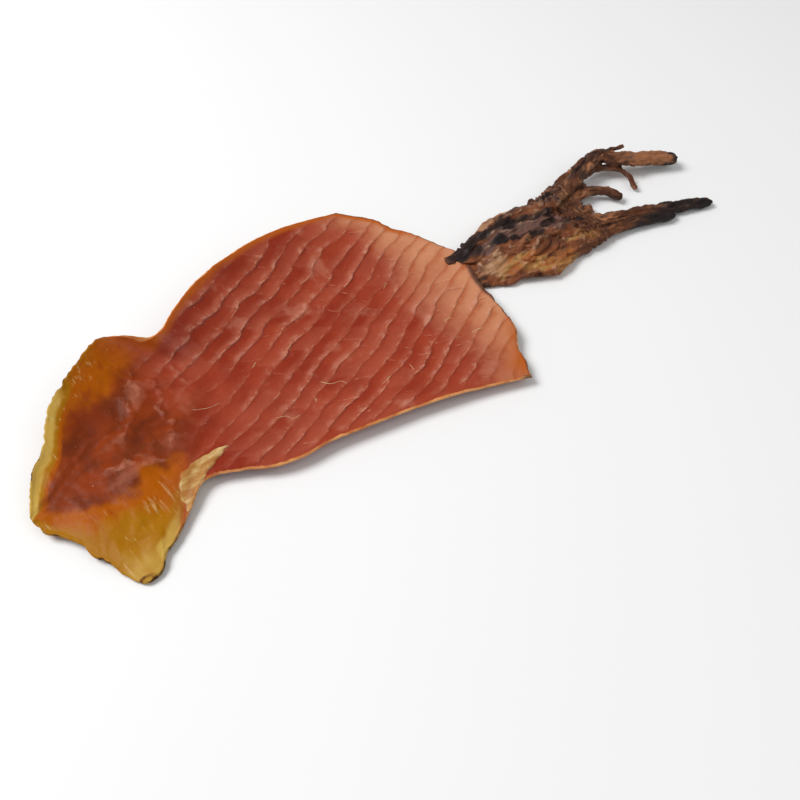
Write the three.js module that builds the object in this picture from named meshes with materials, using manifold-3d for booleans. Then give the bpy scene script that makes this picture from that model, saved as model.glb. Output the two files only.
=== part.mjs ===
// A dried squid, lying on its underside: the mantle split open and dried into one thin warped sheet,
// its two fins at the tail, and the head with its eight arms and two tentacles dried in a crumpled
// bundle at the front. All of it grew together, so it is one closed solid.
//
// Millimetres, +Z up. +X runs from the tail tip to the arms, +Y is the animal's own left, called the
// left side below. The origin is under the middle of the whole squid, on the surface it lies on.
import * as THREE from "three";
import { mergeVertices } from "three/addons/utils/BufferGeometryUtils.js";
import Module from "manifold-3d";

// ---- Driving dimensions ----

const mantleLength = 235; // tail tip to the middle of the mantle's front edge
const cornerSetback = 32; // how far each front corner lies behind that middle
const mantleRight = 75; // half-width of the opened mantle, right of the straight axis
const mantleLeft = 71; // and left of it
const finLengthRight = 62; // tail tip to where the right fin meets the mantle's edge
const finLengthLeft = 84;
const finSpanRight = 51; // straight axis to the right fin's tip
const finSpanLeft = 57;
const sheetThickness = 1.9; // the mantle wall, dried
const finThickness = 1.3; // at the fins' margins
const leftCurl = 20; // height of the curled-up left margin at the fin
const headLength = 67; // mantle's front edge to the crotch between the arm bundles
const headTuck = 12; // how far the head reaches back under the mantle
const headWidth = 47.5; // across its widest part
const headHeight = 12;
const armReach = 78; // crotch to the furthest arm tip
const armWidth = 9; // the stout arms at their roots
const armHeight = 6.5;

// ---- Fineness of the solid ----

const sheetSteps = 54; // along the mantle
const sheetColumns = 18; // across it, both sides together
const strandSides = 8;
const strandStep = 8.5; // along an arm
const headRings = 14;
const headSides = 18;

// ---- Outline of the mantle and fins ----
// Each margin runs from the tail tip to its front corner. A fin's points are shares of that fin's
// length and span, and an edge's points are shares of the way from fin to corner and of the half-width.

const finRight = [
  [0, 0.01], [0.02, 0.14], [0.08, 0.24], [0.16, 0.42], [0.17, 0.54], [0.23, 0.69], [0.26, 0.84],
  [0.35, 1], [0.46, 0.97], [0.53, 0.88], [0.62, 0.83], [0.8, 0.69], [1, 0.53],
];
const edgeRight = [
  [0.1, 0.44], [0.18, 0.54], [0.26, 0.59], [0.36, 0.61], [0.49, 0.67], [0.67, 0.76], [0.84, 0.87], [1, 1],
];
const finLeft = [
  [0, 0.03], [0.05, 0.17], [0.13, 0.33], [0.2, 0.4], [0.34, 0.65], [0.45, 0.76], [0.57, 0.86],
  [0.67, 0.94], [0.76, 1], [0.88, 0.94], [1, 0.79],
];
const edgeLeft = [[0.13, 0.75], [0.26, 0.86], [0.43, 0.95], [0.63, 1], [0.84, 0.99], [1, 0.93]];

// The middle line bends a little: shares of the mantle's length, and how far left it lies.
const middleLine = [[0, 0.5], [0.06, 4.5], [0.2, 8.5], [0.38, 10], [0.6, 8.5], [0.81, 4.5], [1, 4]];

// The front edge bulges forward between its middle and each corner: place across, and millimetres.
const frontBulgeRight = [
  [0, 0], [0.25, 0.2], [0.4, 2], [0.57, 4], [0.69, 5], [0.77, 1.8], [0.89, 1], [1, 0],
];
const frontBulgeLeft = [[0, 0], [0.2, 1], [0.45, 4], [0.6, 3], [0.72, 5], [0.88, 2.5], [1, 0]];
const frontBulgeDepth = 0.12; // the share of the mantle behind the edge that stretches to form it

// Height of the sheet's mid-surface along its right margin, middle line and left margin. The left
// margin's are shares of leftCurl. The middle lies on the surface for the middle part of the length.
const liftRight = [
  [0, 5], [0.1, 3.5], [0.2, 0.6], [0.28, 2.5], [0.4, 4.8], [0.6, 6], [0.82, 6.4], [1, 4.8],
];
const liftMiddle = [
  [0, 5], [0.1, 6.5], [0.22, 7.5], [0.36, 4.5], [0.46, 0.7], [0.8, 0.6], [0.91, 3.2], [1, 6],
];
const liftLeft = [
  [0, 0.3], [0.08, 0.5], [0.2, 0.85], [0.33, 1.05], [0.42, 0.85], [0.6, 0.9], [0.8, 0.76], [1, 0.5],
];
const curlPowerRight = 2.2; // how late the rise comes on the way out to the margin
const curlPowerLeft = 2.4;
const buckleHeight = 0.9; // gentle buckles that fade towards the resting part

// A smooth curve through [place, value] pairs, as a function of the place.
function profile(pairs) {
  const curve = new THREE.SplineCurve(pairs.map(([at, value]) => new THREE.Vector2(at, value)));
  const spans = pairs.length - 1;
  return (at) => {
    let i = 0;
    while (i < spans - 1 && pairs[i + 1][0] < at) i += 1;
    const share = (at - pairs[i][0]) / (pairs[i + 1][0] - pairs[i][0]);
    return curve.getPoint((i + THREE.MathUtils.clamp(share, 0, 1)) / spans).y;
  };
}

// A margin of the sheet, as a curve from the tail tip to a front corner; side is -1 right, +1 left.
function margin(fin, finLength, finSpan, edge, halfWidth, side) {
  const edgeLength = mantleLength - cornerSetback - finLength;
  const points = [
    ...fin.map(([x, y]) => new THREE.Vector3(x * finLength, side * y * finSpan, 0)),
    ...edge.map(([x, y]) => new THREE.Vector3(finLength + x * edgeLength, side * y * halfWidth, 0)),
  ];
  return new THREE.CatmullRomCurve3(points, false, "centripetal");
}

const rightMargin = margin(finRight, finLengthRight, finSpanRight, edgeRight, mantleRight, -1);
const leftMargin = margin(finLeft, finLengthLeft, finSpanLeft, edgeLeft, mantleLeft, 1);
const middle = new THREE.CatmullRomCurve3(
  middleLine.map(([x, y]) => new THREE.Vector3(x * mantleLength, y, 0)),
  false,
  "centripetal",
);
for (const curve of [rightMargin, leftMargin, middle]) curve.arcLengthDivisions = 800;

const heightRight = profile(liftRight);
const heightMiddle = profile(liftMiddle);
const heightLeft = profile(liftLeft);
const bulgeRight = profile(frontBulgeRight);
const bulgeLeft = profile(frontBulgeLeft);

// The sheet's mid-surface: along is 0 at the tail tip and 1 at the front edge, and across is -1 at the
// right margin, 0 on the middle line and 1 at the left margin.
function sheetPoint(along, across) {
  const out = Math.abs(across);
  const left = across > 0;
  const point = middle.getPointAt(along).lerp((left ? leftMargin : rightMargin).getPointAt(along), out);
  const front = THREE.MathUtils.smoothstep(along, 1 - frontBulgeDepth, 1);
  point.x += front * (left ? bulgeLeft : bulgeRight)(out);
  const low = heightMiddle(along);
  const high = left ? leftCurl * heightLeft(along) : heightRight(along);
  const rise = Math.pow(out, left ? curlPowerLeft : curlPowerRight);
  const buckle = Math.sin(along * 21 + across * 3) + 0.7 * Math.sin(along * 37 - across * 5);
  point.z = THREE.MathUtils.lerp(low, high, rise) + buckleHeight * rise * (1 - rise) * 2 * buckle;
  return point;
}

// Thinner over the fins and towards every margin.
function thicknessAt(along, across) {
  const finShare = 1 - THREE.MathUtils.smoothstep(along, 0.2, 0.45);
  const outward = THREE.MathUtils.smoothstep(Math.abs(across), 0.3, 1);
  return THREE.MathUtils.lerp(sheetThickness, finThickness, finShare * outward);
}

// Nothing reaches below the surface the squid dried on: what would is pressed flat there.
function pressedFlat(z) {
  return Math.max(0, z);
}

// The mantle with its fins: a thin box bent and trimmed to the sheet.
function sheetGeometry() {
  const box = new THREE.BoxGeometry(1, 1, 1, sheetSteps, sheetColumns, 1);
  const position = box.getAttribute("position");
  for (let i = 0; i < position.count; i += 1) {
    const along = position.getX(i) + 0.5;
    const across = 2 * position.getY(i);
    const point = sheetPoint(along, across);
    const z = pressedFlat(point.z + position.getZ(i) * thicknessAt(along, across));
    position.setXYZ(i, point.x, point.y, z);
  }
  return box;
}

// ---- Head and arms ----
// Places along the head are shares of its length, and above 1 they are shares of the arms' reach past
// it. Places across and heights are millimetres.

function headPlace([along, y, z]) {
  const beyond = Math.max(0, along - 1);
  return new THREE.Vector3(mantleLength + Math.min(along, 1) * headLength + beyond * armReach, y, z);
}

// Each strand: its route, then its width and height as shares of a stout arm's at root and tip.
const strands = {
  left_long_arm: {
    route: [[0.1, 0, 5.5], [0.45, 3, 8], [0.82, 2, 8.5], [1.17, 5, 8.5], [1.37, 10, 9.5], [1.52, 9, 10.5],
      [1.62, 2, 9.5], [1.74, -4, 8], [1.9, -11, 6.5], [1.99, -16, 6]],
    width: [1, 0.95],
    height: [1, 0.72],
  },
  left_folded_arm: {
    route: [[0.12, 5, 6.5], [0.4, 6, 8.5], [0.75, 3, 8], [1, 6.5, 7.5], [1.2, 9.5, 7], [1.34, 10, 6]],
    width: [0.8, 0.75],
    height: [0.8, 0.6],
  },
  hooked_arm: {
    route: [[0.1, -2, 4.5], [0.7, -1, 6], [1.1, 3, 6.5], [1.36, 7, 7], [1.52, 3, 6], [1.61, -4, 4.5],
      [1.59, -11, 3], [1.55, -16, 2]],
    width: [0.7, 0.25],
    height: [0.7, 0.35],
  },
  middle_arm: {
    route: [[0.15, -5, 4.5], [0.8, -5, 5.5], [1.1, -3, 6], [1.25, -4, 6], [1.34, -9, 5], [1.39, -17, 3]],
    width: [0.75, 0.5],
    height: [0.75, 0.5],
  },
  under_arm: {
    route: [[0.15, -6, 2.5], [0.75, -13, 3], [1.04, -12, 2.8], [1.16, -10.5, 2.4]],
    width: [0.95, 0.7],
    height: [0.8, 0.6],
  },
  right_long_arm: {
    route: [[0.1, -9, 5], [0.6, -14, 6.5], [0.95, -20, 5.6], [1.14, -26, 4.8], [1.4, -34, 3.6],
      [1.62, -41, 3],
      [1.85, -49, 2]],
    width: [1, 0.72],
    height: [1, 0.6],
  },
  right_second_arm: {
    route: [[0.1, -14, 3.6], [0.55, -24, 4], [0.9, -29.5, 3.6], [1.17, -32, 3], [1.38, -38, 2.6],
      [1.54, -43.5, 2.4]],
    width: [0.85, 0.6],
    height: [0.85, 0.55],
  },
  right_folded_arm: {
    route: [[0.1, -18, 3], [0.38, -24, 3], [0.64, -29, 3], [0.84, -30.5, 3]],
    width: [0.8, 0.6],
    height: [0.8, 0.5],
  },
  upper_tentacle: {
    route: [[0.3, 0, 9], [0.75, -4, 10.5], [1.05, 0, 10], [1.3, 6, 10], [1.5, 10, 11.8], [1.62, 8, 12],
      [1.72, 6, 12.6]],
    width: [0.45, 0.2],
    height: [0.45, 0.25],
  },
  lower_tentacle: {
    route: [[0.3, -10, 8.5], [0.7, -15, 8.5], [1, -21, 7], [1.2, -27, 6], [1.36, -33, 5.4]],
    width: [0.45, 0.3],
    height: [0.45, 0.35],
  },
};

// One arm: a cylinder drawn out along its route, flattened, tapered and closed with a rounded tip.
function strandGeometry({ route, width, height }) {
  const curve = new THREE.CatmullRomCurve3(route.map(headPlace), false, "centripetal");
  const steps = Math.ceil(curve.getLength() / strandStep);
  const cylinder = new THREE.CylinderGeometry(1, 1, 1, strandSides, steps);
  const position = cylinder.getAttribute("position");
  const up = new THREE.Vector3(0, 0, 1);
  for (let i = 0; i < position.count; i += 1) {
    const along = position.getY(i) + 0.5;
    const tangent = curve.getTangentAt(along);
    const side = new THREE.Vector3().crossVectors(tangent, up).normalize();
    const top = new THREE.Vector3().crossVectors(side, tangent);
    const rounding = 1 - 0.45 * THREE.MathUtils.smoothstep(along, 0.93, 1);
    const halfWidth = 0.5 * armWidth * THREE.MathUtils.lerp(width[0], width[1], along) * rounding;
    const halfHeight = 0.5 * armHeight * THREE.MathUtils.lerp(height[0], height[1], along) * rounding;
    const point = curve
      .getPointAt(along)
      .addScaledVector(side, position.getX(i) * halfWidth)
      .addScaledVector(top, position.getZ(i) * halfHeight);
    position.setXYZ(i, point.x, point.y, pressedFlat(point.z));
  }
  return cylinder;
}

// The head: a flattened lump from under the mantle's front edge to the crotch of the arms, widening
// away from the neck and leaning to the right. Its two edges are given along its length, and its top
// rises from the mantle's own.
const headLeftEdge = profile([[0, 8], [0.22, 6], [0.3, 9], [0.45, 12], [0.65, 12.5], [0.8, 9], [1, 8]]);
const headRightEdge = profile([
  [0, -15], [0.08, -22], [0.2, -26.5], [0.32, -28.5], [0.45, -33], [0.54, -35.5], [0.64, -32],
  [0.8, -31], [1, -25],
]);
const widestHead = 47.7; // across those edges where they stand furthest apart
const thinRightSide = 0.5; // how much thinner the head is there than at its middle
const headTop = profile([[0, 0.6], [0.2, 0.85], [0.5, 1], [0.8, 0.85], [1, 0.55]]);
const headSink = 0.4; // how much of its rounded underside is pressed flat
const neckTop = heightMiddle(1) + 0.5 * sheetThickness;

function headGeometry() {
  const cylinder = new THREE.CylinderGeometry(1, 1, 1, headSides, headRings);
  const position = cylinder.getAttribute("position");
  for (let i = 0; i < position.count; i += 1) {
    const along = position.getY(i) + 0.5;
    const ends = Math.pow(Math.sin(Math.PI * THREE.MathUtils.lerp(0.12, 0.9, along)), 0.4);
    const centre = (headWidth / widestHead) * 0.5 * (headLeftEdge(along) + headRightEdge(along));
    const halfWidth = (headWidth / widestHead) * 0.5 * (headLeftEdge(along) - headRightEdge(along)) * ends;
    const ownTop = headHeight * headTop(along);
    const top = THREE.MathUtils.lerp(neckTop, ownTop, THREE.MathUtils.smoothstep(along, 0.1, 0.35));
    const thinning = 1 - thinRightSide * THREE.MathUtils.smoothstep(position.getX(i), -0.3, 0.9);
    const lump = 1 + 0.07 * Math.sin(along * 17 + 5 * Math.atan2(position.getZ(i), position.getX(i)));
    position.setXYZ(
      i,
      mantleLength - headTuck + along * (headTuck + headLength),
      centre - position.getX(i) * halfWidth * lump,
      pressedFlat(0.5 * (top + headSink) * (1 + position.getZ(i) * lump) * thinning - headSink),
    );
  }
  return cylinder;
}

// ---- Joining into one body ----

const wasm = await Module();
wasm.setup();

function solid(geometry) {
  geometry.deleteAttribute("normal");
  geometry.deleteAttribute("uv");
  const merged = mergeVertices(geometry, 1e-4);
  return new wasm.Manifold(
    new wasm.Mesh({
      numProp: 3,
      vertProperties: new Float32Array(merged.getAttribute("position").array),
      triVerts: new Uint32Array(merged.getIndex().array),
    }),
  );
}

function geometryOf(body) {
  const mesh = body.getMesh();
  const geometry = new THREE.BufferGeometry();
  geometry.setAttribute("position", new THREE.BufferAttribute(new Float32Array(mesh.vertProperties), 3));
  geometry.setIndex(new THREE.BufferAttribute(new Uint32Array(mesh.triVerts), 1));
  geometry.computeVertexNormals();
  return geometry;
}

let body = solid(sheetGeometry()).add(solid(headGeometry()));
for (const strand of Object.values(strands)) body = body.add(solid(strandGeometry(strand)));

const geometry = geometryOf(body);
geometry.computeBoundingBox();
const centre = geometry.boundingBox.getCenter(new THREE.Vector3());
geometry.translate(-centre.x, -centre.y, -geometry.boundingBox.min.z);

const driedFlesh = new THREE.MeshStandardMaterial({ color: 0x9c3f1e, roughness: 0.38, metalness: 0 });
const squid = new THREE.Mesh(geometry, driedFlesh);
squid.name = "dried_squid";

const root = new THREE.Group();
root.add(squid);

export default root;
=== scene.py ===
"""Looks of the dried squid: a wrinkled, glossy mantle with thin golden fins, and a head with its arms."""

import functools
import itertools
import math

import bpy
import numpy as np
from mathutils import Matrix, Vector, kdtree


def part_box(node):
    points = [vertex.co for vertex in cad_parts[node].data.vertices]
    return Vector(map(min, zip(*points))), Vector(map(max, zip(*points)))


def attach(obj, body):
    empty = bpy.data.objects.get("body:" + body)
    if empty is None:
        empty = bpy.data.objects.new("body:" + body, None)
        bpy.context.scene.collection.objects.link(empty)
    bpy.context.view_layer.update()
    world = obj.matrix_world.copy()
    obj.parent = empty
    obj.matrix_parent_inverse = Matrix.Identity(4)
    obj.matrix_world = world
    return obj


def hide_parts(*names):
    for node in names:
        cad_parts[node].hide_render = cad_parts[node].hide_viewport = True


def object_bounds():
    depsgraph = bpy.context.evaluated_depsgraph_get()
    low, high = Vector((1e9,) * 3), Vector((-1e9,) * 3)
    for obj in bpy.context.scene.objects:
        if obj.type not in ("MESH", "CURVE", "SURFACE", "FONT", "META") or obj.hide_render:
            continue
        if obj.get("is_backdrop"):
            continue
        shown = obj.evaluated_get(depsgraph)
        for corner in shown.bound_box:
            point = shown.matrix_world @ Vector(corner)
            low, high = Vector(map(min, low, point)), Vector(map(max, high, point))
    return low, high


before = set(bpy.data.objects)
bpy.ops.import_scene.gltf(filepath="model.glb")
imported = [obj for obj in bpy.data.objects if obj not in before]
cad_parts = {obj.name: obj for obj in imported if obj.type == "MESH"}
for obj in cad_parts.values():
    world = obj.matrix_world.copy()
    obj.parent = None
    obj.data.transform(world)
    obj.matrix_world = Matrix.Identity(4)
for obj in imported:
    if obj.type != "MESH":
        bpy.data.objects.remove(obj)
cad_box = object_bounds()

MM = 0.001
FLATTEN = np.array([1.0, 1.0, 0.0])

# ---- The squid's own sizes and outline, in millimetres from the tail tip ----
# They are the same as in the CAD part. x runs towards the arms, and y is to the squid's left.

MANTLE_LENGTH = 235
CORNER_SETBACK = 32
MANTLE_RIGHT = 75
MANTLE_LEFT = 71
FIN_LENGTH_RIGHT = 62
FIN_LENGTH_LEFT = 84
FIN_SPAN_RIGHT = 51
FIN_SPAN_LEFT = 57
SHEET_THICKNESS = 1.9
FIN_THICKNESS = 1.3
LEFT_CURL = 20
HEAD_LENGTH = 67
HEAD_TUCK = 12
HEAD_HEIGHT = 12
ARM_REACH = 78
ARM_WIDTH = 9
ARM_HEIGHT = 6.5

FIN_RIGHT = [
    (0, 0.01), (0.02, 0.14), (0.08, 0.24), (0.16, 0.42), (0.17, 0.54), (0.23, 0.69), (0.26, 0.84),
    (0.35, 1), (0.46, 0.97), (0.53, 0.88), (0.62, 0.83), (0.8, 0.69), (1, 0.53),
]
EDGE_RIGHT = [
    (0.1, 0.44), (0.18, 0.54), (0.26, 0.59), (0.36, 0.61), (0.49, 0.67), (0.67, 0.76), (0.84, 0.87), (1, 1),
]
FIN_LEFT = [
    (0, 0.03), (0.05, 0.17), (0.13, 0.33), (0.2, 0.4), (0.34, 0.65), (0.45, 0.76), (0.57, 0.86),
    (0.67, 0.94), (0.76, 1), (0.88, 0.94), (1, 0.79),
]
EDGE_LEFT = [(0.13, 0.75), (0.26, 0.86), (0.43, 0.95), (0.63, 1), (0.84, 0.99), (1, 0.93)]
MIDDLE_LINE = [(0, 0.5), (0.06, 4.5), (0.2, 8.5), (0.38, 10), (0.6, 8.5), (0.81, 4.5), (1, 4)]
FRONT_BULGE_RIGHT = [(0, 0), (0.25, 0.2), (0.4, 2), (0.57, 4), (0.69, 5), (0.77, 1.8), (0.89, 1), (1, 0)]
FRONT_BULGE_LEFT = [(0, 0), (0.2, 1), (0.45, 4), (0.6, 3), (0.72, 5), (0.88, 2.5), (1, 0)]
FRONT_BULGE_DEPTH = 0.12
LIFT_RIGHT = [(0, 5), (0.1, 3.5), (0.2, 0.6), (0.28, 2.5), (0.4, 4.8), (0.6, 6), (0.82, 6.4), (1, 4.8)]
LIFT_MIDDLE = [(0, 5), (0.1, 6.5), (0.22, 7.5), (0.36, 4.5), (0.46, 0.7), (0.8, 0.6), (0.91, 3.2), (1, 6)]
LIFT_LEFT = [
    (0, 0.3), (0.08, 0.5), (0.2, 0.85), (0.33, 1.05), (0.42, 0.85), (0.6, 0.9), (0.8, 0.76), (1, 0.5),
]
CURL_POWER_RIGHT = 2.2
CURL_POWER_LEFT = 2.4
BUCKLE_HEIGHT = 0.9

HEAD_LEFT_EDGE = [(0, 8), (0.22, 6), (0.3, 9), (0.45, 12), (0.65, 12.5), (0.8, 9), (1, 8)]
HEAD_RIGHT_EDGE = [
    (0, -15), (0.08, -22), (0.2, -26.5), (0.32, -28.5), (0.45, -33), (0.54, -35.5), (0.64, -32),
    (0.8, -31), (1, -25),
]
THIN_RIGHT_SIDE = 0.5
HEAD_TOP = [(0, 0.6), (0.2, 0.85), (0.5, 1), (0.8, 0.85), (1, 0.55)]

# Each arm: its route (share of the head, or past 1 of the arms' reach, then millimetres across and
# up), and its width and height at root and tip as shares of a stout arm's.
ARMS = {
    "left_long": (
        [(0.1, 0, 5.5), (0.45, 3, 8), (0.82, 2, 8.5), (1.17, 5, 8.5), (1.37, 10, 9.5), (1.52, 9, 10.5),
         (1.62, 2, 9.5), (1.74, -4, 8), (1.9, -11, 6.5), (1.99, -16, 6)],
        (1, 0.95), (1, 0.72)),
    "left_folded": (
        [(0.12, 5, 6.5), (0.4, 6, 8.5), (0.75, 3, 8), (1, 6.5, 7.5), (1.2, 9.5, 7), (1.34, 10, 6)],
        (0.8, 0.75), (0.8, 0.6)),
    "hooked": (
        [(0.1, -2, 4.5), (0.7, -1, 6), (1.1, 3, 6.5), (1.36, 7, 7), (1.52, 3, 6), (1.61, -4, 4.5),
         (1.59, -11, 3), (1.55, -16, 2)],
        (0.7, 0.25), (0.7, 0.35)),
    "middle": (
        [(0.15, -5, 4.5), (0.8, -5, 5.5), (1.1, -3, 6), (1.25, -4, 6), (1.34, -9, 5), (1.39, -17, 3)],
        (0.75, 0.5), (0.75, 0.5)),
    "under": (
        [(0.15, -6, 2.5), (0.75, -13, 3), (1.04, -12, 2.8), (1.16, -10.5, 2.4)],
        (0.95, 0.7), (0.8, 0.6)),
    "right_long": (
        [(0.1, -9, 5), (0.6, -14, 6.5), (0.95, -20, 5.6), (1.14, -26, 4.8), (1.4, -34, 3.6), (1.62, -41, 3),
         (1.85, -49, 2)],
        (1, 0.72), (1, 0.6)),
    "right_second": (
        [(0.1, -14, 3.6), (0.55, -24, 4), (0.9, -29.5, 3.6), (1.17, -32, 3), (1.38, -38, 2.6),
         (1.54, -43.5, 2.4)],
        (0.85, 0.6), (0.85, 0.55)),
    "right_folded": (
        [(0.1, -18, 3), (0.38, -24, 3), (0.64, -29, 3), (0.84, -30.5, 3)],
        (0.8, 0.6), (0.8, 0.5)),
    "upper_tentacle": (
        [(0.3, 0, 9), (0.75, -4, 10.5), (1.05, 0, 10), (1.3, 6, 10), (1.5, 10, 11.8), (1.62, 8, 12),
         (1.72, 6, 12.6)],
        (0.45, 0.2), (0.45, 0.25)),
    "lower_tentacle": (
        [(0.3, -10, 8.5), (0.7, -15, 8.5), (1, -21, 7), (1.2, -27, 6), (1.36, -33, 5.4)],
        (0.45, 0.3), (0.45, 0.35)),
}

# Skin of the neck: its route in millimetres, and its half-width.
NECK_SKIN = [
    ([(223.5, 4.5, 5.9), (229, 4, 7.1), (235, 3, 8.2), (244, 3, 9), (256, 4, 9.5)], 5),
    ([(228, 0.5, 6.7), (233, -2, 7.6), (239, -3.5, 8), (250, -5, 8.5)], 4),
]
# Skin between the arms' roots: its route as an arm's, and its half-width at its root in millimetres.
WEBS = [
    ([(0.7, 2, 7), (0.95, 2, 7.5), (1.15, 5, 7.5), (1.32, 9, 8)], 7.5),
    ([(0.72, -8, 6), (0.98, -8, 5.5), (1.14, -2, 5.5), (1.26, 3, 6)], 6.5),
    ([(0.7, -20, 5.5), (0.95, -24, 4.5), (1.15, -29, 3.8), (1.42, -36, 3)], 6),
]

# ---- Surface detail, in millimetres ----

GRID_ROWS = 280  # along the mantle
GRID_SIDE = 84  # from its middle line out to each margin
RIM_STEPS = (0.55, 0.28, 0.1, 0.0)  # the last rings in from a margin, as shares of the rim
RIM_WIDTH = 1.3
WRINKLE_SPACING = 8.1
WRINKLE_ANGLE = math.radians(22)  # the long wrinkles, from the squid's axis
CROSS_SPACING = 12.5
CROSS_ANGLE = math.radians(-38)
WRINKLE_HEIGHT = 0.42
VOXEL = 0.6  # the head's and arms' mesh size
FLOW_SAMPLES = 160  # places on each arm where the direction of its streaks is taken
SHEET_MIN_THICKNESS = 0.4  # where the sheet is pressed on the surface it lies on

# The right fin's front end lies folded over the mantle as a thin pale flap.
FLAP = [
    (49, -37), (50, -28), (54, -21), (58, -17.5), (66, -15.5), (73, -16), (80, -18.5), (73, -21), (68, -24),
    (63, -26), (57, -31),
]
RIGHT_FIN_TIP = (21, -51)
# The thicker, browner flesh in the middle of the tail.
TAIL_CENTRE = [
    (4, 2), (20, 19), (32, 31), (56, 34), (70, 44), (100, 42), (110, -12), (60, -11), (43, -7), (36, -14),
    (26, -14),
]
RIGHT_CORNER = [(221, -52), (215, -60), (206, -68)]
# The two ridges over the pen, and the folds that cross them where the tail crumpled as it dried.
PEN_RIDGES = [
    [(0, 1), (10, 5.5), (20, 11), (36, 18), (48, 18), (62, 14), (74, 12)],
    [(5, 0.5), (13, 3), (29, 9), (40, 12), (47, 13)],
]
CRUMPLE_FOLDS = [
    [(74, 36), (72, 24), (67, 16), (67, 7), (62, -3), (56, -8)],
    [(68, 45), (64, 31), (63, 19)],
    [(54, 34), (57, 24), (53, 13)],
    [(29, 3), (42, -2), (52, -9), (60, -12)],
    [(84, 40), (82, 28), (86, 18)],
]
# Loose fibres dried on the surface, from one end to the other.
FIBRES = [
    [(77.5, 6.9), (83, 5), (89.7, 4.5)],
    [(131, -13), (134, -18), (138, -19.5), (139, -23)],
    [(103, -18), (108, -20), (109, -23), (113, -23.5)],
]
FIBRE_COUNT = 12

# Patches of colour on the head: middle x and y, half-length, half-width and turn in degrees.
HEAD_PATCHES = {
    "black": [
        (233, 3, 12, 7, -15), (246, 4.5, 11, 2.6, -8), (262, 1, 13, 4, -14), (278, -3, 12, 3.4, -18),
        (262, 6.5, 9, 1.7, 10), (279, 8, 10, 1.9, 8), (300, 13, 12, 2.6, 8), (291, 4, 9, 2, -10),
        (254, -7, 8, 2.4, -30), (291, -16, 9, 1.8, -22), (268, -12, 8, 1.5, -24),
    ],
    "tan": [(271, 12, 10, 3, 6), (254, 9, 7, 2.4, 14), (304, -2, 9, 3, 14), (240, -14, 8, 4, -20)],
    "amber": [(252, -21, 15, 5, -24), (268, -31, 13, 5, -8), (290, -26, 12, 3.5, -20)],
    "plum": [(280, -10, 14, 6.5, -14), (262, -6, 11, 5, -20), (297, 2, 11, 4.5, -8), (246, -4, 8, 4, 0)],
    "spot": [(277, -21.5, 8, 3, -12)],
}


# ---- Numbers: steps, noise and curves ----


def smoothstep(x, low, high):
    t = np.clip((np.asarray(x, float) - low) / (high - low), 0, 1)
    return t * t * (3 - 2 * t)


def lattice_slopes(cell, seed):
    """A pseudo-random direction for each whole-numbered cell corner."""
    h = (cell[..., 0] * 73856093) ^ (cell[..., 1] * 19349663) ^ (cell[..., 2] * 83492791) ^ (seed * 6542989)
    h = ((h ^ (h >> 15)) * 2246822519) & 0xFFFFFFFF
    h = ((h ^ (h >> 13)) * 3266489917) & 0xFFFFFFFF
    h = h ^ (h >> 16)
    return np.stack([h & 1023, (h >> 10) & 1023, (h >> 20) & 1023], -1) / 511.5 - 1


def noise(points, size, seed=0, octaves=1):
    """Smooth noise between about -1 and 1, with features of that size and, per octave, of half of it."""
    total = 0
    for octave in range(octaves):
        scaled = np.asarray(points, float) / (size / 2**octave)
        cell = np.floor(scaled).astype(np.int64)
        inside = scaled - cell
        fade = inside**3 * (inside * (inside * 6 - 15) + 10)
        for corner in itertools.product((0, 1), repeat=3):
            slope = lattice_slopes(cell + np.array(corner), seed + octave)
            weight = np.prod(np.where(np.array(corner) == 1, fade, 1 - fade), axis=-1)
            total = total + weight * np.sum(slope * (inside - np.array(corner)), axis=-1) * 1.3 / 2**octave
    return total


def layered(points, *layers):
    """Several noises added up, each given by its strength, size, seed and, if not one, its octaves."""
    return sum(strength * noise(points, *how) for strength, *how in layers)


def noise_shift(points, size, seed, octaves=1):
    """A sideways shift for each point, which bends straight lines into natural ones."""
    x, y = noise(points, size, seed, octaves), noise(points, size, seed + 1, octaves)
    return np.stack([x, y, 0 * x], -1)


def bell(distance, width):
    """1 at no distance, falling off smoothly past the width."""
    return np.exp(-((distance / width) ** 2))


def cubic(start, end, slope_in, slope_out, t):
    """A smooth step from start to end as t goes from 0 to 1, with those slopes at its ends."""
    cube = 2 * start - 2 * end + slope_in + slope_out
    square = 3 * end - 3 * start - 2 * slope_in - slope_out
    return cube * t**3 + square * t**2 + slope_in * t + start


def profile(pairs):
    """A smooth curve through (place, value) pairs, as a function of the place."""
    places = np.array([p for p, _ in pairs], float)
    values = np.array([v for _, v in pairs], float)
    padded = np.concatenate([values[:1], values, values[-1:]])

    def at(place):
        place = np.asarray(place, float)
        i = np.clip(np.searchsorted(places, place, side="left") - 1, 0, len(places) - 2)
        t = np.clip((place - places[i]) / (places[i + 1] - places[i]), 0, 1)
        before, start, end, after = padded[i], padded[i + 1], padded[i + 2], padded[i + 3]
        v0, v1 = (end - before) / 2, (after - start) / 2
        return cubic(start, end, v0, v1, t)

    return at


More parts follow.
